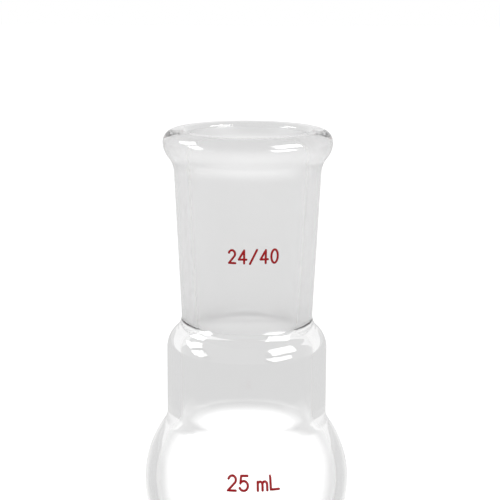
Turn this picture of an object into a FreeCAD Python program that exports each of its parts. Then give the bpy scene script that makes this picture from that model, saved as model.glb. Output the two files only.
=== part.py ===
import FreeCAD, Part
import math
import os

import Sketcher

# A single neck round-bottomed flask of 25 mL, blown in one piece from heavy-wall glass tube.
# From the top down it has a beaded mouth, a ground socket that narrows by 1 in 10, an outside
# that follows that taper, a swelled shoulder, a plain neck, and a thick round bulb.
#
# Frame: millimetres. The origin is the centre of the mouth, in the plane of the rim. +Z runs up
# along the axis of the flask, so the whole flask lies below Z = 0.

DOCUMENT_NAME = "single_neck_flask"
SHEET_NAME = "Sizes"

# Each driving size: its name, its value and what it measures.
SIZES = [
    ("gauge_bore", 24.0, "inside diameter of the ground socket in the plane of the rim"),
    ("ground_length", 40.0, "length of the ground socket, from the rim to its small end"),
    ("taper_ratio", 10.0, "length in which the diameter of the socket narrows by one"),
    ("joint_wall", 3.0, "glass between the ground socket and the outside of the joint"),
    ("bead_diameter", 33.6, "widest diameter of the bead round the mouth"),
    ("bead_height", 2.5, "from the rim down to the widest ring of the bead"),
    ("bead_under_radius", 4.5, "radius of the bead's underside"),
    ("bead_root_radius", 5.5, "hollow curve between the bead and the joint"),
    ("mouth_radius", 1.0, "fire-polished inner edge of the mouth"),
    ("foot_rise", 1.1, "the outside starts to swell this far above the socket's small end"),
    ("foot_radius", 3.8, "hollow curve outside, where the joint swells into the shoulder"),
    ("shoulder_drop", 3.0, "height of the slope of the shoulder"),
    ("shoulder_radius", 5.2, "round outside edge of the shoulder"),
    ("neck_diameter", 32.2, "outside diameter of the plain neck"),
    ("neck_wall", 2.8, "glass of the plain neck"),
    ("neck_length", 16.8, "height of the plain neck, from the shoulder to the bulb"),
    ("lip_radius", 1.8, "round edge inside, where the ground socket opens into the neck"),
    ("flare_drop", 3.3, "height of the flare inside, below the ground socket"),
    ("flare_radius", 3.0, "hollow curve inside, from the flare to the neck"),
    ("bulb_diameter", 41.5, "outside diameter of the bulb"),
    ("bulb_wall", 2.2, "glass of the bulb"),
    ("bulb_root_radius", 4.2, "hollow curve outside, from the neck to the bulb"),
    ("bulb_lip_radius", 6.0, "round edge inside, from the neck to the bulb"),
    ("cutter_overrun", 5.0, "the hollow is cut this far past the rim, to leave no skin"),
]

# Lengths and radii that several features share, as formulas on the driving sizes.
NECK_RADIUS = "(Sizes.neck_diameter / 2)"
NECK_BORE_RADIUS = "(Sizes.neck_diameter / 2 - Sizes.neck_wall)"
BULB_RADIUS = "(Sizes.bulb_diameter / 2)"
JOINT_RADIUS = "(Sizes.gauge_bore / 2 + Sizes.joint_wall)"
FOOT_DEPTH = "(Sizes.ground_length - Sizes.foot_rise)"
NECK_END_DEPTH = f"({FOOT_DEPTH} + Sizes.shoulder_drop + Sizes.neck_length)"
BULB_CENTRE_DEPTH = f"({NECK_END_DEPTH} + sqrt({BULB_RADIUS}^2 - {NECK_RADIUS}^2))"
HALF_TAPER = "(1 / (2 * Sizes.taper_ratio))"

# The sketcher's own numbers for the ends of an edge, the centre of an arc and the axes.
START, END, CENTRE = range(1, 4)
ORIGIN = (-1, 1)
H_AXIS, V_AXIS = range(-1, -3, -1)


def fill_sheet(doc):
    """Writes the driving sizes to a sheet, one row each, with an alias on the value."""
    sheet = doc.addObject("Spreadsheet::Sheet", SHEET_NAME)
    for row, (name, value, meaning) in enumerate(SIZES, start=1):
        sheet.set(f"A{row}", name)
        sheet.set(f"B{row}", str(value))
        sheet.set(f"C{row}", meaning)
        sheet.setAlias(f"B{row}", name)
    doc.recompute()
    return sheet


def value_of(sheet, formula):
    """Works out a formula on the sheet's sizes."""
    return float(sheet.evalExpression(formula.replace("Sizes.", "")))


def point(radius, height):
    """A point of a half section: its distance from the axis and its height."""
    return FreeCAD.Vector(radius, height, 0)


def line(start, end):
    return Part.LineSegment(start, end)


def arc(centre, radius, start_angle, end_angle):
    """A piece of a circle, anticlockwise, with its angles in radians from the outward radius."""
    circle = Part.Circle(centre, FreeCAD.Vector(0, 0, 1), radius)
    return Part.ArcOfCircle(circle, start_angle, end_angle)


def half_section(body, name):
    """An empty sketch in the upright plane through the axis of the flask."""
    planes = [item for item in body.Origin.OriginFeatures if item.Role == "XZ_Plane"]
    sketch = body.newObject("Sketcher::SketchObject", name)
    sketch.AttachmentSupport = [(planes[0], "")]
    sketch.MapMode = "FlatFace"
    return sketch


def join(sketch, *pairs):
    """Makes each pair of ends meet, given as (edge, end, edge, end)."""
    for pair in pairs:
        sketch.addConstraint(Sketcher.Constraint("Coincident", *pair))


def bind(sketch, constraint, formula):
    """Adds a dimension and ties it to a formula on the sheet."""
    index = sketch.addConstraint(constraint)
    sketch.setExpression(f"Constraints[{index}]", formula)


def bind_radii(sketch, sheet, *rows):
    """Ties the distance of each end from the axis of the flask to a formula."""
    for edge, end, formula in rows:
        size = value_of(sheet, formula)
        bind(sketch, Sketcher.Constraint("DistanceX", *ORIGIN, edge, end, size), formula)


def bind_depths(sketch, sheet, *rows):
    """Ties the depth of each end below the rim to a formula."""
    for edge, end, formula in rows:
        size = value_of(sheet, formula)
        bind(sketch, Sketcher.Constraint("DistanceY", edge, end, *ORIGIN, size), formula)


def draw_outer_form(body, sheet):
    """Half section of the solid form: bead, tapered joint, shoulder, neck and bulb."""
    size = lambda formula: value_of(sheet, formula)
    bead = size("Sizes.bead_diameter / 2")
    bead_height = size("Sizes.bead_height")
    under = size("Sizes.bead_under_radius")
    joint_top = size(JOINT_RADIUS)
    slope = size(HALF_TAPER)
    foot_depth = size(FOOT_DEPTH)
    neck = size(NECK_RADIUS)
    neck_end_depth = size(NECK_END_DEPTH)
    bulb = size(BULB_RADIUS)
    bulb_depth = size(BULB_CENTRE_DEPTH)
    foot_formula = f"{JOINT_RADIUS} - {FOOT_DEPTH} * {HALF_TAPER}"

    # The underside of the bead runs in to the tapered outside of the joint.
    under_angle = math.acos((joint_top - slope * bead_height - (bead - under)) / under)
    crest = point(bead - bead_height, 0)
    under_end = point(bead - under + under * math.cos(under_angle),
                      -bead_height - under * math.sin(under_angle))
    foot = point(size(foot_formula), -foot_depth)
    neck_top = point(neck, -foot_depth - size("Sizes.shoulder_drop"))
    neck_end = point(neck, -neck_end_depth)
    bottom = point(0, -bulb_depth - bulb)
    neck_angle = math.acos(neck / bulb)

    sketch = half_section(body, "outer_form")
    (rim, bead_top, bead_under, joint, shoulder, plain_neck, bulb_arc, axis) = sketch.addGeometry([
        line(point(0, 0), crest),
        arc(point(bead - bead_height, -bead_height), bead_height, 0, math.pi / 2),
        arc(point(bead - under, -bead_height), under, -under_angle, 0),
        line(under_end, foot),
        line(foot, neck_top),
        line(neck_top, neck_end),
        arc(point(0, -bulb_depth), bulb, -math.pi / 2, neck_angle),
        line(bottom, point(0, 0)),
    ], False)
    # The joint's outside, carried on up to the plane of the rim, meets it at this point.
    joint_mark = sketch.addGeometry(Part.Point(point(joint_top, 0)), True)

    join(sketch, (axis, END, rim, START), (bead_under, START, joint, START),
         (joint, END, shoulder, START), (shoulder, END, plain_neck, START),
         (plain_neck, END, bulb_arc, END), (bulb_arc, START, axis, START), (rim, START, *ORIGIN))
    sketch.addConstraint([
        Sketcher.Constraint("Horizontal", rim),
        Sketcher.Constraint("Tangent", rim, END, bead_top, END),
        Sketcher.Constraint("Tangent", bead_top, START, bead_under, END),
        Sketcher.Constraint("Horizontal", bead_top, START, bead_top, CENTRE),
        Sketcher.Constraint("Vertical", plain_neck),
        Sketcher.Constraint("PointOnObject", bulb_arc, CENTRE, V_AXIS),
        Sketcher.Constraint("PointOnObject", bulb_arc, START, V_AXIS),
        Sketcher.Constraint("PointOnObject", joint_mark, START, H_AXIS),
        Sketcher.Constraint("PointOnObject", joint_mark, START, joint),
    ])
    bind(sketch, Sketcher.Constraint("Radius", bead_top, bead_height), "Sizes.bead_height")
    bind(sketch, Sketcher.Constraint("Radius", bead_under, under), "Sizes.bead_under_radius")
    bind(sketch, Sketcher.Constraint("Radius", bulb_arc, bulb), BULB_RADIUS)
    bind_radii(sketch, sheet, (bead_top, START, "Sizes.bead_diameter / 2"),
               (joint_mark, START, JOINT_RADIUS), (joint, END, foot_formula),
               (plain_neck, START, NECK_RADIUS))
    bind_depths(sketch, sheet, (joint, END, FOOT_DEPTH), (plain_neck, END, NECK_END_DEPTH),
                (plain_neck, START, f"{FOOT_DEPTH} + Sizes.shoulder_drop"))
    return sketch


def draw_hollow(body, sheet):
    """Half section of the inside: ground socket, flare, bore of the neck and hollow bulb."""
    size = lambda formula: value_of(sheet, formula)
    overrun = size("Sizes.cutter_overrun")
    slope = size(HALF_TAPER)
    gauge = size("Sizes.gauge_bore / 2")
    ground_length = size("Sizes.ground_length")
    small_end_formula = f"Sizes.gauge_bore / 2 - Sizes.ground_length * {HALF_TAPER}"
    flare_end_formula = "Sizes.ground_length + Sizes.flare_drop"
    hollow_formula = f"({BULB_RADIUS} - Sizes.bulb_wall)"
    bore = size(NECK_BORE_RADIUS)
    hollow = size(hollow_formula)
    bulb_depth = size(BULB_CENTRE_DEPTH)

    above = point(0, overrun)
    large_end = point(gauge + overrun * slope, overrun)
    small_end = point(size(small_end_formula), -ground_length)
    bore_top = point(bore, -size(flare_end_formula))
    bore_angle = math.acos(bore / hollow)
    bore_end = point(bore, -bulb_depth + hollow * math.sin(bore_angle))
    bottom = point(0, -bulb_depth - hollow)

    sketch = half_section(body, "hollow_form")
    (opening, socket, flare, neck_bore, hollow_arc, axis) = sketch.addGeometry([
        line(above, large_end),
        line(large_end, small_end),
        line(small_end, bore_top),
        line(bore_top, bore_end),
        arc(point(0, -bulb_depth), hollow, -math.pi / 2, bore_angle),
        line(bottom, above),
    ], False)
    # The gauge diameter of the socket is measured at this point, in the plane of the rim.
    gauge_mark = sketch.addGeometry(Part.Point(point(gauge, 0)), True)

    join(sketch, (axis, END, opening, START), (opening, END, socket, START),
         (socket, END, flare, START), (flare, END, neck_bore, START),
         (neck_bore, END, hollow_arc, END), (hollow_arc, START, axis, START))
    sketch.addConstraint([
        Sketcher.Constraint("Horizontal", opening),
        Sketcher.Constraint("Vertical", neck_bore),
        Sketcher.Constraint("PointOnObject", opening, START, V_AXIS),
        Sketcher.Constraint("PointOnObject", hollow_arc, CENTRE, V_AXIS),
        Sketcher.Constraint("PointOnObject", hollow_arc, START, V_AXIS),
        Sketcher.Constraint("PointOnObject", gauge_mark, START, H_AXIS),
        Sketcher.Constraint("PointOnObject", gauge_mark, START, socket),
    ])
    bind(sketch, Sketcher.Constraint("DistanceY", *ORIGIN, opening, START, overrun),
         "Sizes.cutter_overrun")
    bind(sketch, Sketcher.Constraint("Radius", hollow_arc, hollow), hollow_formula)
    bind_radii(sketch, sheet, (gauge_mark, START, "Sizes.gauge_bore / 2"),
               (socket, END, small_end_formula), (neck_bore, START, NECK_BORE_RADIUS))
    bind_depths(sketch, sheet, (socket, END, "Sizes.ground_length"),
                (neck_bore, START, flare_end_formula), (hollow_arc, CENTRE, BULB_CENTRE_DEPTH))
    return sketch


def turn(body, kind, name, sketch):
    """Turns a half section once round the axis of the flask, to add or to cut away."""
    feature = body.newObject(kind, name)
    feature.Profile = sketch
    feature.ReferenceAxis = (sketch, ["V_Axis"])
    feature.Angle = 360.0
    sketch.Visibility = False
    body.Document.recompute()
    return feature


def ring_edge(shape, radius, height, tolerance=0.01):
    """The name of the circular edge round the axis with this radius and height."""
    for number, edge in enumerate(shape.Edges, start=1):
        if edge.Degenerated or not isinstance(edge.Curve, Part.Circle):
            continue
        curve = edge.Curve
        if abs(curve.Radius - radius) < tolerance and abs(curve.Center.z - height) < tolerance:
            return f"Edge{number}"
    raise RuntimeError(f"no ring of radius {radius:.2f} at height {height:.2f}")


def round_ring(body, name, radius, height, size_formula):
    """Rounds one ring-shaped edge of the glass, with a radius tied to the sheet."""
    base = body.Tip
    edge_name = ring_edge(base.Shape, radius, height)
    fillet = body.newObject("PartDesign::Fillet", name)
    fillet.Base = (base, [edge_name])
    fillet.setExpression("Radius", size_formula)
    body.Document.recompute()
    return fillet


def edge_of(sketch, number, end):
    """Where one end of a sketch's edge lies, as its radius and its height."""
    place = sketch.getPoint(number, end)
    return place.x, place.y


def blow_flask(doc, sheet):
    """The whole flask as one piece of glass."""
    body = doc.addObject("PartDesign::Body", "flask")
    body.Label = "flask"
    outer = draw_outer_form(body, sheet)
    turn(body, "PartDesign::Revolution", "solid_form", outer)
    hollow = draw_hollow(body, sheet)
    full_volume = body.Tip.Shape.Volume
    turn(body, "PartDesign::Groove", "hollow", hollow)
    if body.Tip.Shape.Volume >= full_volume:
        raise RuntimeError("the hollow cuts nothing away")

    gauge = value_of(sheet, "Sizes.gauge_bore / 2")
    round_ring(body, "mouth_edge", gauge, 0, "Sizes.mouth_radius")
    round_ring(body, "bead_root", *edge_of(outer, 3, START), "Sizes.bead_root_radius")
    round_ring(body, "joint_foot", *edge_of(outer, 4, START), "Sizes.foot_radius")
    round_ring(body, "shoulder_edge", *edge_of(outer, 4, END), "Sizes.shoulder_radius")
    round_ring(body, "bulb_root", *edge_of(outer, 5, END), "Sizes.bulb_root_radius")
    round_ring(body, "socket_lip", *edge_of(hollow, 2, START), "Sizes.lip_radius")
    round_ring(body, "flare_root", *edge_of(hollow, 2, END), "Sizes.flare_radius")
    round_ring(body, "bulb_lip", *edge_of(hollow, 3, END), "Sizes.bulb_lip_radius")
    return body


def check_document(doc, bodies):
    """Stops if any object failed to compute or any piece isn't a sound solid."""
    for item in doc.Objects:
        bad = [state for state in item.State if state in ("Invalid", "Error")]
        if bad:
            raise RuntimeError(f"{item.Name} is {bad[0]}")
    for body in bodies:
        shape = body.Shape
        if shape.isNull() or not shape.isValid() or len(shape.Solids) != 1:
            raise RuntimeError(f"{body.Label} is not one sound solid")


def report_sizes(sheet, body):
    """Prints the overall size and what the bulb holds up to the foot of the neck."""
    box = body.Shape.optimalBoundingBox(False)
    radius = value_of(sheet, f"{BULB_RADIUS} - Sizes.bulb_wall")
    bore = value_of(sheet, NECK_BORE_RADIUS)
    cap = radius - math.sqrt(radius ** 2 - bore ** 2)
    held = 4 / 3 * math.pi * radius ** 3 - math.pi * cap ** 2 * (3 * radius - cap) / 3
    print(f"{body.Label}: {box.XLength:.2f} x {box.YLength:.2f} x {box.ZLength:.2f} mm,",
          f"glass {body.Shape.Volume / 1000:.2f} mL, bulb holds {held / 1000:.1f} mL")


def main():
    doc = FreeCAD.newDocument(DOCUMENT_NAME)
    sheet = fill_sheet(doc)
    flask = blow_flask(doc, sheet)
    doc.recompute()
    check_document(doc, [flask])
    os.makedirs("parts", exist_ok=True)
    flask.Shape.exportStep(f"parts/{flask.Label}.step")
    report_sizes(sheet, flask)


main()
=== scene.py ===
# %% [markdown]
# # A single neck flask of heavy glass
#
# This lesson dresses a small round-bottomed flask, the kind that is heated in a chemistry
# laboratory. The real one starts as a length of thick borosilicate tube. A lamp worker draws a
# bead round the mouth, presses the top over a cone and grinds it matt inside, swells a shoulder
# below it and blows the end into a ball. Nothing is glued on, so the model is one piece of glass
# with two finishes, and a few red marks fired on its outside.

# %% Load the measured flask
import math

import bpy
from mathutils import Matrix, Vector


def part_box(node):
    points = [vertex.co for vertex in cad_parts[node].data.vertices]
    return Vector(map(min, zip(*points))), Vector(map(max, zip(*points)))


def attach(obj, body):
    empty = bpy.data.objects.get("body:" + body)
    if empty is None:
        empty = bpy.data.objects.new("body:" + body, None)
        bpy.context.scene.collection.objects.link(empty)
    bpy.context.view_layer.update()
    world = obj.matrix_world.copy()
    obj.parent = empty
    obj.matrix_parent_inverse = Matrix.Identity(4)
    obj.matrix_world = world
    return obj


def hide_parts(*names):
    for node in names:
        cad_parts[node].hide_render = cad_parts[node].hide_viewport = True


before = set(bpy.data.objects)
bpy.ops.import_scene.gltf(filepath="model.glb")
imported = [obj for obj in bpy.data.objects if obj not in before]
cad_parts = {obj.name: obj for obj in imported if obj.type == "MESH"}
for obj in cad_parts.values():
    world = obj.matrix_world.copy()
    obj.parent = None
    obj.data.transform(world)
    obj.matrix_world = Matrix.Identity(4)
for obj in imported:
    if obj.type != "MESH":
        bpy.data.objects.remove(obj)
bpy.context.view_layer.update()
lowest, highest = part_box("flask")
print("flask from", tuple(lowest), "to", tuple(highest))

# %% [markdown]
# ## The sizes of the glass
#
# Everything is in metres, in the frame of the measured flask: the origin is the centre of the
# mouth, in the plane of the rim, and +Z runs up the axis. Two sizes are read from that flask, the
# ball's radius and its lowest point, and the others are the glass worker's own. Depths count
# downwards from the rim.

# %% Sizes of the joint, the neck and the ball
MM = 0.001

BALL_RADIUS = highest.x
BALL_DEPTH = -lowest.z - BALL_RADIUS
BALL_WALL = 2.2 * MM

BEAD_RADIUS = 16.8 * MM
BEAD_HEIGHT = 2.5 * MM
BEAD_UNDER_ROUND = 4.5 * MM
BEAD_ROOT_ROUND = 5.5 * MM
MOUTH_ROUND = 1.0 * MM

GAUGE_RADIUS = 12.0 * MM
JOINT_WALL = 3.0 * MM
TAPER = 1 / 20
GROUND_DEPTH = 40.0 * MM
LIP_ROUND = 1.8 * MM

FOOT_DEPTH = 38.9 * MM
FOOT_ROUND = 3.8 * MM
SHOULDER_DEPTH = 41.9 * MM
SHOULDER_ROUND = 5.2 * MM
FLARE_DEPTH = 43.3 * MM
FLARE_ROUND = 3.0 * MM

NECK_RADIUS = 16.1 * MM
NECK_WALL = 2.8 * MM
BALL_ROOT_ROUND = 4.2 * MM
BALL_LIP_ROUND = 6.0 * MM

bore_radius = NECK_RADIUS - NECK_WALL
hollow_radius = BALL_RADIUS - BALL_WALL
print(f"ball {2000 * BALL_RADIUS:.1f} mm across, {-1000 * lowest.z:.1f} mm tall")

# %% [markdown]
# ## Rounds that run into straight walls
#
# Hot glass has no sharp corners: surface tension draws every edge into a round. A half section
# is a row of points, each a distance from the axis and a height, and every round in it is an arc
# that meets its neighbours without a kink. A kink would show at once in glass, as a bright line.
# Arcs are cut into steps of a few degrees, and long straight walls into short ones, so that the
# smooth shading stays true on both sides of every join.

# %% Arcs and straight stretches
ARC_STEP = math.radians(3.5)
STRAIGHT_STEP = 1.2 * MM


def place(radius, height):
    """A point of a half section."""
    return Vector((radius, height))


def arc(centre, start, end):
    """Points along the shorter arc round a centre, from start to end."""
    radius = (start - centre).length
    first = math.atan2(start.y - centre.y, start.x - centre.x)
    last = math.atan2(end.y - centre.y, end.x - centre.x)
    turn = (last - first + math.pi) % math.tau - math.pi
    steps = max(2, math.ceil(abs(turn) / ARC_STEP))
    angles = [first + turn * step / steps for step in range(steps + 1)]
    return [centre + radius * place(math.cos(angle), math.sin(angle)) for angle in angles]


def straight(start, end):
    """Points between two ends, which the neighbouring arcs already hold."""
    steps = max(2, round((end - start).length / STRAIGHT_STEP))
    return [start.lerp(end, step / steps) for step in range(1, steps)]


def round_corner(before, corner, after, radius):
    """The arc that rounds the corner of two straight stretches."""
    back = (before - corner).normalized()
    ahead = (after - corner).normalized()
    half = back.angle(ahead) / 2
    centre = corner + (back + ahead).normalized() * (radius / math.sin(half))
    reach = radius / math.tan(half)
    return arc(centre, corner + back * reach, corner + ahead * reach)


def round_ball(ball_centre, ball_radius, wall_point, wall_direction, radius):
    """The arc that joins a ball to a straight wall above or below it, from ball to wall."""
    direction = wall_direction.normalized()
    outward = place(direction.y, -direction.x)
    offset = wall_point + outward * radius - ball_centre
    along = offset.dot(direction)
    reach = ball_radius + radius
    root = math.sqrt(along ** 2 - offset.length_squared + reach ** 2)
    side = -1 if wall_point.y < ball_centre.y else 1
    centre = ball_centre + offset + direction * (side * root - along)
    on_ball = ball_centre + (centre - ball_centre) * (ball_radius / reach)
    on_wall = centre - outward * radius
    return arc(centre, on_ball, on_wall)


print("a quarter round takes", len(arc(place(0, 0), place(1, 0), place(0, 1))), "points")

# %% [markdown]
# ## The outside of the glass
#
# The outside runs from the bottom of the ball up to the rim. The joint's outside narrows
# downwards by the same 1 in 10 as the ground socket inside it, because the tube was pressed over
# a tapered tool with an even wall.

# %% Outer half section
ball_centre = place(0, -BALL_DEPTH)
joint_radius = GAUGE_RADIUS + JOINT_WALL
up = place(0, 1)
joint_up = place(TAPER, 1)

foot = place(joint_radius - TAPER * FOOT_DEPTH, -FOOT_DEPTH)
shoulder = place(NECK_RADIUS, -SHOULDER_DEPTH)
bead_centre = place(BEAD_RADIUS - BEAD_UNDER_ROUND, -BEAD_HEIGHT)
bead_side = place(BEAD_RADIUS, -BEAD_HEIGHT)
crest_centre = place(BEAD_RADIUS - BEAD_HEIGHT, -BEAD_HEIGHT)
crest = place(BEAD_RADIUS - BEAD_HEIGHT, 0)

ball_root = round_ball(ball_centre, BALL_RADIUS, shoulder, up, BALL_ROOT_ROUND)
shoulder_edge = round_corner(ball_root[-1], shoulder, foot, SHOULDER_ROUND)
joint_foot = round_corner(shoulder, foot, foot + joint_up, FOOT_ROUND)
bead_root = round_ball(bead_centre, BEAD_UNDER_ROUND, foot, joint_up, BEAD_ROOT_ROUND)[::-1]

outside = [
    *arc(ball_centre, place(0, lowest.z), ball_root[0]),
    *ball_root[1:],
    *straight(ball_root[-1], shoulder_edge[0]),
    *shoulder_edge,
    *straight(shoulder_edge[-1], joint_foot[0]),
    *joint_foot,
    *straight(joint_foot[-1], bead_root[0]),
    *bead_root,
    *arc(bead_centre, bead_root[-1], bead_side)[1:],
    *arc(crest_centre, bead_side, crest)[1:],
]
print(len(outside), "points up the outside")

# %% [markdown]
# ## The inside of the glass
#
# The inside comes back down from the rim. The ground socket is a true cone. Below it the bore
# flares out to the wider neck, and the neck opens into the hollow ball with a soft lip.

# %% Inner half section
mouth = place(GAUGE_RADIUS, 0)
socket_end = place(GAUGE_RADIUS - TAPER * GROUND_DEPTH, -GROUND_DEPTH)
flare_end = place(bore_radius, -FLARE_DEPTH)

mouth_edge = round_corner(crest, mouth, socket_end, MOUTH_ROUND)
socket_lip = round_corner(mouth, socket_end, flare_end, LIP_ROUND)
ball_lip = round_ball(ball_centre, hollow_radius, flare_end, up, BALL_LIP_ROUND)[::-1]
flare_root = round_corner(socket_end, flare_end, ball_lip[0], FLARE_ROUND)

inside = [
    *mouth_edge,
    *straight(mouth_edge[-1], socket_lip[0]),
    *socket_lip,
    *straight(socket_lip[-1], flare_root[0]),
    *flare_root,
    *straight(flare_root[-1], ball_lip[0]),
    *ball_lip,
    *arc(ball_centre, ball_lip[-1], place(0, -BALL_DEPTH - hollow_radius))[1:],
]
half_section = outside + inside
ground_top = mouth_edge[-1].y
ground_bottom = socket_lip[0].y
print(len(half_section), "points in all; ground from", ground_top, "to", ground_bottom)

# %% [markdown]
# ## Nodes written as sums
#
# Both the shapes and the finishes below are node trees. Written out one node at a time they are
# hard to read, so two small classes help. A `Wire` is one output socket, and sums on wires add
# Math nodes to the tree. Every other node comes from `Graph.node`, which takes the node's type,
# its settings and what its sockets hold.

# %% Wires and graphs
class Wire:
    """One output socket of a node tree, which can stand in sums."""

    def __init__(self, graph, socket):
        self.graph = graph
        self.socket = socket

    def maths(self, operation, *terms):
        sockets = dict(enumerate(terms))
        return self.graph.node("ShaderNodeMath", {"operation": operation}, sockets)[0]

    def __add__(self, other):
        return self.maths("ADD", self, other)

    def __sub__(self, other):
        return self.maths("SUBTRACT", self, other)

    def __rsub__(self, other):
        return self.maths("SUBTRACT", other, self)

    def __mul__(self, other):
        return self.maths("MULTIPLY", self, other)

    def __truediv__(self, other):
        return self.maths("DIVIDE", self, other)

    def __rtruediv__(self, other):
        return self.maths("DIVIDE", other, self)

    def __pow__(self, other):
        return self.maths("POWER", self, other)

    def __rpow__(self, other):
        return self.maths("POWER", other, self)

    def __gt__(self, other):
        return self.maths("GREATER_THAN", self, other)

    def __lt__(self, other):
        return self.maths("LESS_THAN", self, other)

    def sine(self):
        return self.maths("SINE", self)

    def cosine(self):
        return self.maths("COSINE", self)

    def absolute(self):
        return self.maths("ABSOLUTE", self)

    def nearest(self):
        return self.maths("ROUND", self)

    __radd__ = __add__
    __rmul__ = __mul__


class Graph:
    """A node tree that is filled one call at a time."""

    def __init__(self, tree):
        self.tree = tree

    def node(self, kind, settings=None, sockets=None):
        """Adds a node and returns its outputs. A list joins several wires to one socket."""
        made = self.tree.nodes.new(kind)
        for name, value in (settings or {}).items():
            setattr(made, name, value)
        for key, value in (sockets or {}).items():
            wires = value if isinstance(value, list) else [value]
            for wire in wires:
                if isinstance(wire, Wire):
                    self.tree.links.new(wire.socket, made.inputs[key])
                else:
                    made.inputs[key].default_value = wire
        return Outputs(self, made)

    def split(self, vector):
        """The X, Y and Z of a vector."""
        return self.node("ShaderNodeSeparateXYZ", {}, {0: vector})


class Outputs:
    """The outputs of one node, each as a Wire, by number or by name."""

    def __init__(self, graph, made):
        self.graph = graph
        self.made = made

    def __getitem__(self, key):
        return Wire(self.graph, self.made.outputs[key])


# %% [markdown]
# ## The two finishes of the glass
#
# Fire-polished glass is clear and bends light by its index, 1.473 for borosilicate. Its surface
# was liquid once, so it is very smooth, but the drawing of the tube leaves faint long waves in
# it. The waves are a weak bump, stretched along the axis. Patterns are given by how many of them
# fit in a metre.

# %% Clear, fire-polished glass
BOROSILICATE_INDEX = 1.473
CLEAR_TINT = (0.99, 0.99, 0.99, 1)
WAVES = 160.0
WAVE_STRETCH = (1, 1, 0.15)
WAVE_HEIGHT = 0.02 * MM


def new_material(name):
    """An empty material and the graph that fills it."""
    material = bpy.data.materials.new(name)
    material.use_nodes = True
    material.node_tree.nodes.clear()
    return material, Graph(material.node_tree)


def object_position(graph):
    """Where a point lies on the piece, in metres."""
    return graph.node("ShaderNodeTexCoord")["Object"]


def noise(graph, scale, detail, stretch=(1, 1, 1)):
    """A cloudy pattern on the piece, from 0 to 1, that can be drawn out along an axis."""
    stretched = graph.node("ShaderNodeMapping", {}, {
        "Vector": object_position(graph), "Scale": stretch})[0]
    return graph.node("ShaderNodeTexNoise", {}, {
        "Vector": stretched, "Scale": scale, "Detail": detail})["Fac"]


def bump(graph, height, distance, strength=1.0):
    """A pattern's heights, as small tilts of the surface."""
    return graph.node("ShaderNodeBump", {}, {
        "Strength": strength, "Distance": distance, "Height": height})[0]


def glass_shader(graph, tint, roughness, tilts):
    return graph.node("ShaderNodeBsdfPrincipled", {"distribution": "MULTI_GGX"}, {
        "Base Color": tint, "Roughness": roughness, "IOR": BOROSILICATE_INDEX,
        "Transmission Weight": 1.0, "Normal": tilts})[0]


def finish_material(graph, surface):
    graph.node("ShaderNodeOutputMaterial", {}, {"Surface": surface})


def clear_glass():
    material, graph = new_material("clear_borosilicate")
    waves = noise(graph, WAVES, 1.0, WAVE_STRETCH)
    finish_material(graph, glass_shader(graph, CLEAR_TINT, 0.0, bump(graph, waves, WAVE_HEIGHT)))
    return material


clear_finish = clear_glass()
print(clear_finish.name, "with", len(clear_finish.node_tree.nodes), "nodes")

# %% [markdown]
# The socket is ground with a spinning cone and grit, so that it seals against another cone. The
# grit leaves a matt white skin: the same glass, but rough. Two fine patterns make it, a grain and
# the faint rings that the spinning tool leaves.

# %% Ground glass
GROUND_TINT = (0.995, 0.995, 0.995, 1)
GROUND_ROUGHNESS = 0.4
GRAIN_ROUGHNESS = 0.1
GRAINS = 4000.0
RINGS = 900.0
RING_STRETCH = (0.05, 0.05, 1)
RING_SHARE = 0.5
SCRATCH_DEPTH = 0.01 * MM


def ground_glass():
    material, graph = new_material("ground_borosilicate")
    grain = noise(graph, GRAINS, 3.0)
    rings = noise(graph, RINGS, 2.0, RING_STRETCH)
    scratches = bump(graph, grain + rings * RING_SHARE, SCRATCH_DEPTH)
    roughness = GROUND_ROUGHNESS + grain * GRAIN_ROUGHNESS
    finish_material(graph, glass_shader(graph, GROUND_TINT, roughness, scratches))
    return material


ground_finish = ground_glass()
print(ground_finish.name, "with", len(ground_finish.node_tree.nodes), "nodes")

# %% [markdown]
# ## Turning the half section into glass
#
# A lathe is the natural way to a round piece: the half section is turned once round the axis.
# Here a flat grid does it in Geometry Nodes. One side of the grid counts along the half section
# and the other counts round the axis, and each grid point is moved to its place. The seam and the
# two poles are then merged, which leaves one closed wall of glass with an outside and an inside.
# The number of steps round the axis and the ends of the ground zone are named inputs.

# %% The lathe
STEPS_ROUND = 192
SEAM_GAP = 0.001 * MM


def tree_with(name, inputs):
    """A Geometry Nodes tree with named inputs, given as {name: (type, value)}."""
    tree = bpy.data.node_groups.new(name, "GeometryNodeTree")
    tree.is_modifier = True
    tree.interface.new_socket("Geometry", in_out="INPUT", socket_type="NodeSocketGeometry")
    for label, (kind, value) in inputs.items():
        socket = tree.interface.new_socket(label, in_out="INPUT", socket_type=kind)
        if value is not None:
            socket.default_value = value
    tree.interface.new_socket("Geometry", in_out="OUTPUT", socket_type="NodeSocketGeometry")
    return Graph(tree)


def run_nodes(flat, graph, values):
    """Runs a tree on an object, and leaves its result as the object's plain mesh."""
    modifier = flat.modifiers.new(graph.tree.name, "NODES")
    modifier.node_group = graph.tree
    for item in graph.tree.interface.items_tree:
        if item.item_type == "SOCKET" and item.in_out == "INPUT" and item.name in values:
            modifier[item.identifier] = values[item.name]
    bpy.context.view_layer.update()
    evaluated = flat.evaluated_get(bpy.context.evaluated_depsgraph_get())
    mesh = bpy.data.meshes.new_from_object(evaluated)
    flat.modifiers.remove(modifier)
    flat_mesh = flat.data
    flat.data = mesh
    bpy.data.meshes.remove(flat_mesh)
    mesh.name = flat.name
    # A tree can leave an empty slot in front, for faces that had no finish. It is dropped.
    if mesh.materials[0] is None:
        mesh.materials.pop(index=0)


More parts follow.
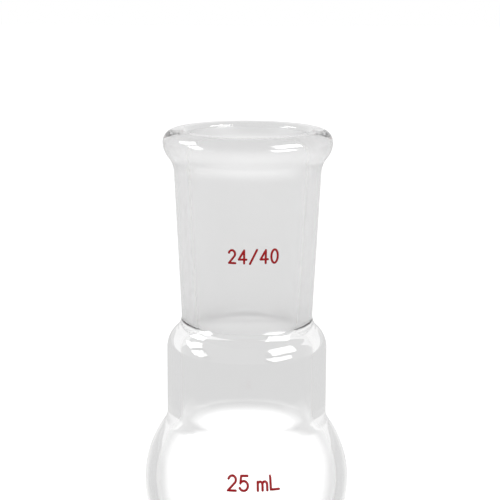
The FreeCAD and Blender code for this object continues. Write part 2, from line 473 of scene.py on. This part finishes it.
def lathe_tree(clear, ground):
    graph = tree_with("lathe", {
        "Steps Round": ("NodeSocketInt", STEPS_ROUND),
        "Ground Top": ("NodeSocketFloat", 0.0),
        "Ground Bottom": ("NodeSocketFloat", 0.0),
        "Ground Reach": ("NodeSocketFloat", 0.0),
    })
    given = graph.node("NodeGroupInput")
    section = given["Geometry"]
    steps = given["Steps Round"]
    points = graph.node("GeometryNodeAttributeDomainSize", {}, {"Geometry": section})["Point Count"]
    last = points - 1
    grid = graph.node("GeometryNodeMeshGrid", {}, {
        "Size X": last, "Size Y": steps, "Vertices X": points, "Vertices Y": steps + 1})["Mesh"]

    # The grid is centred on the origin, with one metre from each row to the next.
    position = graph.node("GeometryNodeInputPosition")[0]
    flat = graph.split(position)
    row = (flat["X"] + last / 2).nearest()
    turn = (flat["Y"] / steps) * -math.tau
    sampled = graph.node("GeometryNodeSampleIndex", {"data_type": "FLOAT_VECTOR"}, {
        "Geometry": section, "Value": position, "Index": row})[0]
    spot = graph.split(sampled)
    turned = graph.node("ShaderNodeCombineXYZ", {}, {
        "X": spot["X"] * turn.cosine(), "Y": spot["X"] * turn.sine(), "Z": spot["Z"]})[0]
    body = graph.node("GeometryNodeSetPosition", {}, {"Geometry": grid, "Position": turned})[0]
    closed = graph.node("GeometryNodeMergeByDistance", {}, {
        "Geometry": body, "Distance": SEAM_GAP})[0]
    smooth = graph.node("GeometryNodeSetShadeSmooth", {}, {"Geometry": closed})[0]

    here = graph.split(position)
    reach = (here["X"] * here["X"] + here["Y"] * here["Y"]) ** 0.5
    in_socket = ((here["Z"] < given["Ground Top"]) * (here["Z"] > given["Ground Bottom"])
                 * (reach < given["Ground Reach"]))
    plain = graph.node("GeometryNodeRealizeInstances", {}, {"Geometry": smooth})[0]
    all_clear = graph.node("GeometryNodeSetMaterial", {}, {
        "Geometry": plain, "Material": clear})[0]
    both = graph.node("GeometryNodeSetMaterial", {}, {
        "Geometry": all_clear, "Selection": in_socket, "Material": ground})[0]
    graph.node("NodeGroupOutput", {}, {"Geometry": both})
    return graph


# %% [markdown]
# The lathe is now run on the half section, which is a mesh of loose points. The ground zone goes
# from the mouth's round to the round at the socket's lower end, and a reach just past the gauge
# radius keeps it on the inside wall.

# %% Turn the glass
def new_piece(name, vertices, edges=(), faces=()):
    """A mesh object at the origin, linked to the scene."""
    mesh = bpy.data.meshes.new(name)
    mesh.from_pydata(vertices, edges, faces)
    piece = bpy.data.objects.new(name, mesh)
    bpy.context.scene.collection.objects.link(piece)
    return piece


def flask_glass():
    piece = new_piece("flask_glass", [(spot.x, 0, spot.y) for spot in half_section])
    run_nodes(piece, lathe_tree(clear_finish, ground_finish), {
        "Steps Round": STEPS_ROUND,
        "Ground Top": ground_top,
        "Ground Bottom": ground_bottom,
        "Ground Reach": GAUGE_RADIUS + MOUTH_ROUND / 2,
    })
    return piece


glass = flask_glass()
print(glass.name, len(glass.data.polygons), "faces,", len(glass.data.materials), "finishes")

# %% [markdown]
# ## The red marks
#
# Red enamel is printed through a screen and fired on. The joint's size and the volume are plain
# numbers, drawn here as single strokes, the way an engineer letters a drawing. Each sign is a few
# lines and bows in a box one unit high.

# %% Strokes of each sign
def bow(centre, across, upward, start, end, steps=14):
    """Points on an oval, between two angles in degrees."""
    angles = [math.radians(start + (end - start) * step / steps) for step in range(steps + 1)]
    return [(centre[0] + across * math.cos(angle), centre[1] + upward * math.sin(angle))
            for angle in angles]


SIGNS = {
    "2": [bow((0.27, 0.72), 0.27, 0.28, 165, -38) + [(0, 0), (0.55, 0)]],
    "4": [[(0.46, 0), (0.46, 1), (0, 0.29), (0.65, 0.29)]],
    "/": [[(0, -0.04), (0.6, 1.04)]],
    "0": [bow((0.3, 0.5), 0.3, 0.52, 90, 450, 28)],
    "5": [[(0.55, 1), (0.1, 1), (0.06, 0.5)] + bow((0.29, 0.33), 0.3, 0.33, 140, -155)],
    "m": [[(0, 0), (0, 0.6)], bow((0.165, 0.43), 0.165, 0.17, 160, 0) + [(0.33, 0)],
          bow((0.495, 0.43), 0.165, 0.17, 160, 0) + [(0.66, 0)]],
    "L": [[(0, 0.97), (0, 0.03), (0.58, 0.03)]],
}
print(len(SIGNS), "signs")

# %% [markdown]
# The strokes are laid flat in front of the flask and then wrapped on it. The tree draws them with
# a round pen, as the lettering in the photograph has round ends and corners: a bar follows each
# stroke, and a short rod stands at each of its points. The bars and rods are merged, and every
# point of the result is sent straight in towards the axis until it meets the glass. So the same
# tree prints on the tapered joint and on the ball.

# %% The printing tree
PEN_SIDES = 16
PEN_WIDTH = 0.4 * MM
ENAMEL_THICKNESS = 0.05 * MM
BEND_RADIUS = 14 * MM
START_DISTANCE = 40 * MM


def print_tree(enamel):
    graph = tree_with("screen_print", {
        "Glass": ("NodeSocketObject", None),
        "Stroke Width": ("NodeSocketFloat", PEN_WIDTH),
        "Thickness": ("NodeSocketFloat", ENAMEL_THICKNESS),
        "Bend Radius": ("NodeSocketFloat", BEND_RADIUS),
        "Start Distance": ("NodeSocketFloat", START_DISTANCE),
    })
    given = graph.node("NodeGroupInput")
    width = given["Stroke Width"]
    half_width = width / 2
    strokes = graph.node("GeometryNodeMeshToCurve", {}, {"Mesh": given["Geometry"]})[0]
    short_steps = graph.node("GeometryNodeResampleCurve", {"mode": "LENGTH"}, {
        "Curve": strokes, "Length": half_width})[0]
    band = graph.node("GeometryNodeCurvePrimitiveQuadrilateral", {}, {
        "Width": width, "Height": width})[0]
    bars = graph.node("GeometryNodeCurveToMesh", {}, {
        "Curve": short_steps, "Profile Curve": band, "Fill Caps": True})[0]
    rod = graph.node("GeometryNodeMeshCylinder", {}, {
        "Vertices": PEN_SIDES, "Radius": half_width, "Depth": width})["Mesh"]
    rods = graph.node("GeometryNodeInstanceOnPoints", {}, {
        "Points": given["Geometry"], "Instance": rod, "Rotation": (math.pi / 2, 0, 0)})[0]
    merged = graph.node("GeometryNodeMeshBoolean", {"operation": "UNION", "solver": "EXACT"}, {
        "Mesh 2": [bars, graph.node("GeometryNodeRealizeInstances", {}, {"Geometry": rods})[0]],
        "Self Intersection": True})[0]

    flat = graph.split(graph.node("GeometryNodeInputPosition")[0])
    turn = flat["X"] / given["Bend Radius"]
    sideways, ahead = turn.sine(), turn.cosine() * -1
    start = graph.node("ShaderNodeCombineXYZ", {}, {
        "X": sideways * given["Start Distance"], "Y": ahead * given["Start Distance"],
        "Z": flat["Z"]})[0]
    inward = graph.node("ShaderNodeCombineXYZ", {}, {"X": sideways * -1, "Y": ahead * -1})[0]
    target = graph.node("GeometryNodeObjectInfo", {"transform_space": "RELATIVE"}, {
        "Object": given["Glass"]})["Geometry"]
    met = graph.node("GeometryNodeRaycast", {"data_type": "FLOAT"}, {
        "Target Geometry": target, "Source Position": start, "Ray Direction": inward,
        "Ray Length": given["Start Distance"]})
    raised = flat["Y"] * -1 / half_width * given["Thickness"]
    lift = graph.node("ShaderNodeVectorMath", {"operation": "SCALE"}, {
        0: met["Hit Normal"], "Scale": raised})[0]
    on_glass = graph.node("ShaderNodeVectorMath", {"operation": "ADD"}, {
        0: met["Hit Position"], 1: lift})[0]
    printed = graph.node("GeometryNodeSetPosition", {}, {
        "Geometry": merged, "Position": on_glass})[0]
    smooth = graph.node("GeometryNodeSetShadeSmooth", {}, {"Geometry": printed})[0]
    plain = graph.node("GeometryNodeRealizeInstances", {}, {"Geometry": smooth})[0]
    painted = graph.node("GeometryNodeSetMaterial", {}, {
        "Geometry": plain, "Material": enamel})[0]
    graph.node("NodeGroupOutput", {}, {"Geometry": painted})
    return graph


# %% [markdown]
# Fired enamel is coloured glass powder, melted on. It has a low gloss and never comes out quite
# even, so one cloudy pattern changes its red, its roughness and its height a little.

# %% Red enamel
DARK_RED = (0.30, 0.001, 0.004, 1)
BRIGHT_RED = (0.42, 0.003, 0.007, 1)
ENAMEL_PATCHES = 900.0
ENAMEL_ROUGHNESS = 0.35
PATCH_ROUGHNESS = 0.15
PATCH_HEIGHT = 0.01 * MM
PATCH_STRENGTH = 0.4
ENAMEL_GLOSS = 0.15


def red_enamel():
    material, graph = new_material("red_enamel")
    patches = noise(graph, ENAMEL_PATCHES, 3.0)
    colour = graph.node("ShaderNodeMix", {"data_type": "RGBA"}, {
        0: patches, 6: DARK_RED, 7: BRIGHT_RED})[2]
    shader = graph.node("ShaderNodeBsdfPrincipled", {}, {
        "Base Color": colour, "Roughness": ENAMEL_ROUGHNESS + patches * PATCH_ROUGHNESS,
        "Specular IOR Level": ENAMEL_GLOSS,
        "Normal": bump(graph, patches, PATCH_HEIGHT, PATCH_STRENGTH)})[0]
    finish_material(graph, shader)
    return material


enamel = red_enamel()
print(enamel.name, "with", len(enamel.node_tree.nodes), "nodes")

# %% [markdown]
# A line of signs is set like type: each sign stands a gap to the right of the last one, and the
# line is centred. It is then moved to its place in front of the flask and printed. The sizes and
# places are those of the marks in the photograph.

# %% Print the marks
SIGN_GAP = 0.7 * MM
WORD_GAP = 1.2 * MM


def strokes_of(text, width, height):
    """The strokes of a line of signs, flat in the XZ plane, with its middle at the origin."""
    vertices, edges = [], []
    left = 0.0
    for sign in text:
        if sign == " ":
            left += WORD_GAP
            continue
        right = left
        for stroke in SIGNS[sign]:
            first = len(vertices)
            vertices += [(left + x * width, 0, (y - 0.5) * height) for x, y in stroke]
            right = max(right, *(x for x, _, _ in vertices[first:]))
            edges += [(first + step, first + step + 1) for step in range(len(stroke) - 1)]
        left = right + SIGN_GAP
    middle = (left - SIGN_GAP) / 2
    return [(x - middle, y, z) for x, y, z in vertices], edges


def print_mark(name, text, graph, width, height, centre, stroke, bend_radius):
    """Prints a line of signs on the glass, centred at an offset across and a height."""
    vertices, edges = strokes_of(text, width, height)
    moved = [(x + centre[0], y, z + centre[1]) for x, y, z in vertices]
    piece = new_piece(name, moved, edges)
    run_nodes(piece, graph, {"Glass": glass, "Stroke Width": stroke, "Bend Radius": bend_radius})
    print(name, len(piece.data.polygons), "faces")
    return piece


printing = print_tree(enamel)
joint_mark = print_mark("joint_size_mark", "24/40", printing, width=2.22 * MM,
                        height=2.54 * MM, centre=(1.24 * MM, -22.83 * MM),
                        stroke=0.42 * MM, bend_radius=13.86 * MM)
volume_mark = print_mark("volume_mark", "25 mL", printing, width=2.74 * MM,
                         height=2.76 * MM, centre=(1.41 * MM, -66.14 * MM),
                         stroke=0.46 * MM, bend_radius=19.95 * MM)

# %% [markdown]
# ## The table and the room
#
# Glass has no colour of its own here: all that it shows is what stands round it. The photograph's
# background is pure white, but its glass shows the greys of a pale table and a pale room. So the
# camera sees white round the flask, while the glass gets the plain light of the table and room.
# The table is matt and pale, and for the camera alone a little glow is added, which turns it
# white and leaves the flask's shadow on it.

# %% Table
TABLE_SIDE = 4.0
TABLE_TONE = 0.75
TABLE_WHITENING = 0.4
ONE_FACE = [(0, 1, 2, 3)]


def table_top():
    half = TABLE_SIDE / 2
    corners = [(-half, -half), (half, -half), (half, half), (-half, half)]
    table = new_piece("table_top", [(x, y, lowest.z) for x, y in corners], faces=ONE_FACE)
    material, graph = new_material("white_table")
    seen = graph.node("ShaderNodeLightPath")["Is Camera Ray"]
    glow = graph.node("ShaderNodeEmission", {}, {"Strength": seen * TABLE_WHITENING})[0]
    matt = graph.node("ShaderNodeBsdfDiffuse", {}, {
        "Color": (TABLE_TONE, TABLE_TONE, TABLE_TONE, 1)})[0]
    both = graph.node("ShaderNodeAddShader", {}, {0: matt, 1: glow})[0]
    finish_material(graph, both)
    table.data.materials.append(material)
    return table


table_top()
print(f"table {-1000 * lowest.z:.1f} mm below the rim")

# %% [markdown]
# The room is a world of one pale level all round, which is the softest light there is. The flask
# has no lamp of its own.

# %% Room
ROOM_LEVEL = 0.95


def light_room():
    world = bpy.data.worlds.new("studio_room")
    bpy.context.scene.world = world
    world.use_nodes = True
    world.node_tree.nodes.clear()
    graph = Graph(world.node_tree)
    path = graph.node("ShaderNodeLightPath")
    level = path["Is Camera Ray"] * (1 - ROOM_LEVEL) + ROOM_LEVEL
    shine = graph.node("ShaderNodeBackground", {}, {"Color": (1, 1, 1, 1), "Strength": level})[0]
    graph.node("ShaderNodeOutputWorld", {}, {"Surface": shine})


light_room()
print("the room's level is", ROOM_LEVEL)

# %% [markdown]
# A photographer of glassware puts a white card right behind a round flask, cut to its shape, so
# that the ball reads clear and white while its rim stays grey. This card is an oval with squarer
# corners, firm at the top, just below the neck, and soft at its sides. Only the glass sees it,
# from the side that faces the camera, and it sheds no light.

# %% White card behind the ball
CARD_GAP = 25 * MM
CARD_HALF_WIDTH = 23.5 * MM
CARD_HALF_HEIGHT = 22 * MM
CARD_MIDDLE = -85.7 * MM
CARD_LEVEL = 1.25
CARD_SQUARENESS = 3.0
CARD_SOFTNESS_ABOVE = 0.09
CARD_SOFTNESS_BESIDE = 0.25


def show_to_glass_only(piece):
    """Hides a piece of the stage from the camera and from matt surfaces."""
    piece.visible_camera = False
    piece.visible_diffuse = False
    piece.visible_shadow = False


def white_card():
    side = CARD_HALF_WIDTH * (1 + CARD_SOFTNESS_BESIDE)
    top = CARD_MIDDLE + CARD_HALF_HEIGHT * (1 + CARD_SOFTNESS_BESIDE)
    corners = [(-side, lowest.z), (side, lowest.z), (side, top), (-side, top)]
    card = new_piece("white_card", [(x, CARD_GAP, z) for x, z in corners], faces=ONE_FACE)
    show_to_glass_only(card)
    material, graph = new_material("white_card")
    spot = graph.split(object_position(graph))
    across = (spot["X"] / CARD_HALF_WIDTH).absolute() ** CARD_SQUARENESS
    upward = ((spot["Z"] - CARD_MIDDLE) / CARD_HALF_HEIGHT).absolute() ** CARD_SQUARENESS
    reach = (across + upward) ** (1 / CARD_SQUARENESS)
    beside = across / (across + upward)
    softness = beside * (CARD_SOFTNESS_BESIDE - CARD_SOFTNESS_ABOVE) + CARD_SOFTNESS_ABOVE
    cover = graph.node("ShaderNodeMapRange", {"interpolation_type": "SMOOTHSTEP"}, {
        "Value": reach, "From Min": softness + 1, "From Max": 1 - softness})[0]
    back = graph.node("ShaderNodeNewGeometry")["Backfacing"]
    glow = graph.node("ShaderNodeEmission", {}, {"Strength": CARD_LEVEL})[0]
    bare = graph.node("ShaderNodeBsdfTransparent")[0]
    mixed = graph.node("ShaderNodeMixShader", {}, {0: cover * (1 - back), 1: bare, 2: glow})[0]
    finish_material(graph, mixed)
    card.data.materials.append(material)
    return card


white_card()
print(f"card's top {-1000 * (CARD_MIDDLE + CARD_HALF_HEIGHT):.1f} mm below the rim")

# %% [markdown]
# Bright spots with straight edges show on the bead and the shoulder: windows, mirrored in the
# glass. There is one on the left and one on the right, each of two panes, and every pane is given
# by the directions of its corners, as azimuth and elevation in degrees. They show only where the
# outside of the glass mirrors them. A light path counts how often it has passed through glass or
# left a matt surface, and once either count is past one half, a pane is dark to it. So light from
# within the glass, or off the marks or the table, is the room's even light alone.

# %% Two windows
WINDOW_DISTANCE = 0.5
WINDOW_LEVEL = 12.0
NONE_SO_FAR = 0.5


def toward(azimuth, elevation):
    """A direction away from the flask. Azimuth 0 is the camera's side, and +90 is +X."""
    turn, rise = math.radians(azimuth), math.radians(elevation)
    return Vector((math.sin(turn) * math.cos(rise), -math.cos(turn) * math.cos(rise),
                   math.sin(rise)))


def window_light():
    material, graph = new_material("window_light")
    path = graph.node("ShaderNodeLightPath")
    mirrored = (path["Diffuse Depth"] < NONE_SO_FAR) * (path["Transmission Depth"] < NONE_SO_FAR)
    glow = graph.node("ShaderNodeEmission", {}, {"Strength": mirrored * WINDOW_LEVEL})[0]
    finish_material(graph, glow)
    return material


def window_pane(name, material, corners):
    middle = Vector((0, 0, -SHOULDER_DEPTH))
    spots = [middle + toward(*corner) * WINDOW_DISTANCE for corner in corners]
    pane = new_piece(name, spots, faces=ONE_FACE)
    pane.data.materials.append(material)
    show_to_glass_only(pane)
    return pane


daylight = window_light()
PANES = {
    "left_window_upper": [(-118, 29), (-99, 48), (-80, 38), (-94, 22)],
    "left_window_lower": [(-90, 16), (-74, 31), (-59, 17), (-68, 5)],
    "right_window_upper": [(37, 50), (90, 47), (81, 25), (39, 25)],
    "right_window_lower": [(26, 17), (63, 19), (69, 7), (38, 1)],
}
for name, corners in PANES.items():
    window_pane(name, daylight, corners)
print(len(PANES), "window panes")

# %% [markdown]
# ## The camera
#
# The camera's place was worked out from the outline of the flask in the photograph: a long lens
# 30 cm away, a little above the rim and looking down. The picture is 500 pixels a side and 36 mm
# wide on the sensor, which turns the fitted focal length from pixels into millimetres.

# %% Camera
PICTURE_SIDE = 500
SENSOR_WIDTH = 36.0
FOCAL_PIXELS = 1531
NEAREST_SEEN = 10 * MM
CAMERA_DISTANCE = 300 * MM
CAMERA_HEIGHT = 36.8 * MM
CAMERA_TILT = math.radians(11.51)
CAMERA_TURN = math.radians(-0.045)
CAMERA_ROLL = math.radians(-0.28)


def place_camera():
    lens = bpy.data.cameras.new("photo_camera")
    lens.sensor_width = SENSOR_WIDTH
    lens.lens = FOCAL_PIXELS / PICTURE_SIDE * SENSOR_WIDTH
    lens.clip_start = NEAREST_SEEN
    camera = bpy.data.objects.new("photo_camera", lens)
    bpy.context.scene.collection.objects.link(camera)
    camera.location = (0, -CAMERA_DISTANCE, CAMERA_HEIGHT)
    camera.rotation_mode = "XYZ"
    camera.rotation_euler = (math.pi / 2 - CAMERA_TILT, CAMERA_ROLL, CAMERA_TURN)
    bpy.context.scene.camera = camera
    return camera


camera = place_camera()
bpy.context.scene.view_settings.view_transform = "Standard"
print(f"lens of {camera.data.lens:.1f} mm")

# %% [markdown]
# Light runs a long way inside thick glass before it gets out, so the paths may be long. With too
# few bounces they end early, and black patches show at the bead and the shoulder. Cycles also
# blurs clear glass behind a matt surface to save time, which darkens the ground socket seen
# through its wall, so that filter is off.

# %% Long light paths
cycles = bpy.context.scene.cycles
cycles.max_bounces = 32
cycles.glossy_bounces = 24
cycles.transmission_bounces = 32
cycles.transparent_max_bounces = 32
cycles.blur_glossy = 0.0
print("up to", cycles.max_bounces, "bounces")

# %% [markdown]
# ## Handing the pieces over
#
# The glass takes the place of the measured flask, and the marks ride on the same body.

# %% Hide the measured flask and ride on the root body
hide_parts("flask")
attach(glass, "root")
for mark in (joint_mark, volume_mark):
    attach(mark, "root")

bpy.context.view_layer.update()
